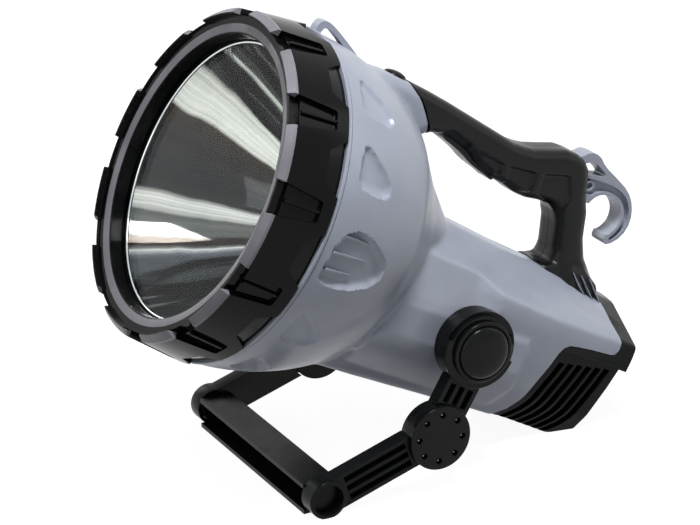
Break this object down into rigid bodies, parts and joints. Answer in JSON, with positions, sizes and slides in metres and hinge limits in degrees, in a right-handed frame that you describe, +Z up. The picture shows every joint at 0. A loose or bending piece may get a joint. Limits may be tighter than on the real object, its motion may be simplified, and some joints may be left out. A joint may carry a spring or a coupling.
{
  "type": "handheld rechargeable searchlight",
  "caption": "Large hand lamp with a ribbed bezel, a mirror bowl, a barrel for the battery, a top grip with a trigger, a hanging hook and a folding stand.",
  "frame": {"origin": "middle of the foot bar's flat sole, on the ground", "axes": "+X runs level from the tail to the lamp's mouth, +Y to the lamp's left, +Z up; the beam points 28.7 degrees above +X"},
  "size_m": [0.3812, 0.229, 0.3116],
  "materials": {
    "grey_abs": "satin",
    "black_abs": "satin",
    "gloss_black_abs": "gloss",
    "soft_black_rubber": "soft matte",
    "clear_polycarbonate": "polished",
    "aluminised": "mirror",
    "quartz": "polished",
    "steel": "zinc plated",
    "brass": "plain",
    "silicone": "matte",
    "phenolic": "matte",
    "battery_block": null,
    "circuit_green": "matte",
    "red_pvc": "satin",
    "black_pvc": "satin"
  },
  "bodies": {
    "casing": {"body_shell_left": "grey_abs", "body_shell_right": "grey_abs", "shell_screw_1": "steel", "shell_screw_2": "steel", "shell_screw_3": "steel", "shell_screw_4": "steel", "shell_screw_5": "steel", "reflector": "aluminised", "bulb_holder": "phenolic", "bulb_base": "steel", "bulb_glass": "quartz", "bulb_clip": "steel", "grip_left": "soft_black_rubber", "grip_right": "soft_black_rubber", "grip_screw_1": "steel", "grip_screw_2": "steel", "trigger_pin": "steel", "trigger_spring": "steel", "micro_switch": "phenolic", "hook": "grey_abs", "front_strap_loop": "grey_abs", "lock_button_spring": "steel", "rear_band": "black_abs", "rear_vent_cover": "black_abs", "charge_socket": "black_abs", "battery": "battery_block", "battery_clamp": "black_abs", "circuit_board": "circuit_green", "terminal_positive": "brass", "terminal_negative": "brass", "lead_positive": "red_pvc", "lead_negative": "black_pvc", "pivot_boss_left": "black_abs", "pivot_boss_right": "black_abs", "pivot_bolt_left": "steel", "pivot_bolt_right": "steel"},
    "bezel": {"bezel_ring": "gloss_black_abs", "lens": "clear_polycarbonate", "lens_seal": "silicone"},
    "stand_upper": {"upper_arm_left": "black_abs", "upper_arm_right": "black_abs", "elbow_pin_left": "steel", "elbow_pin_right": "steel", "elbow_disc_left": "black_abs", "elbow_disc_right": "black_abs"},
    "stand_lower": {"lower_arm_left": "black_abs", "lower_arm_right": "black_abs", "foot_bar": "black_abs"},
    "knob_left": {"pivot_knob_left": "black_abs"},
    "knob_right": {"pivot_knob_right": "black_abs"},
    "trigger_lever": {"trigger": "gloss_black_abs"},
    "button": {"lock_button": "black_abs"},
    "socket_flap": {"charge_cover": "silicone"}
  },
  "joints": [
    {"name": "bezel_turn", "type": "hinge", "parent": "casing", "child": "bezel", "pos_m": [0.01114, 0, 0.19514], "axis": [0.8769, 0, 0.4807], "range_deg": [0, 30]},
    {"name": "stand_pivot", "type": "hinge", "parent": "casing", "child": "stand_upper", "pos_m": [-0.11378, 0, 0.09016], "axis": [0, -1, 0], "range_deg": [-30, 10]},
    {"name": "stand_elbow", "type": "hinge", "parent": "stand_upper", "child": "stand_lower", "pos_m": [-0.08117, 0, 0.03743], "axis": [0, -1, 0], "range_deg": [-96, 16]},
    {"name": "knob_left_turn", "type": "hinge", "parent": "casing", "child": "knob_left", "pos_m": [-0.11378, 0.0918, 0.09016], "axis": [0, 1, 0], "range_deg": [0, 90]},
    {"name": "knob_right_turn", "type": "hinge", "parent": "casing", "child": "knob_right", "pos_m": [-0.11378, -0.0918, 0.09016], "axis": [0, -1, 0], "range_deg": [0, 90]},
    {"name": "trigger_pull", "type": "hinge", "parent": "casing", "child": "trigger_lever", "pos_m": [-0.13722, 0, 0.21097], "axis": [0, 1, 0], "range_deg": [0, 5], "stiffness_Nm_per_rad": 0.3, "springref_deg": -11.46, "deforming": ["trigger_spring"]},
    {"name": "button_press", "type": "slide", "parent": "casing", "child": "button", "axis": [0.4807, 0, -0.8769], "range_m": [0, 0.0025], "stiffness_N_per_m": 600, "springref_m": -0.002, "deforming": ["lock_button_spring"]},
    {"name": "flap_swing", "type": "hinge", "parent": "casing", "child": "socket_flap", "pos_m": [-0.25623, 0, 0.05939], "axis": [0, 1, 0], "range_deg": [0, 110]}
  ]
}
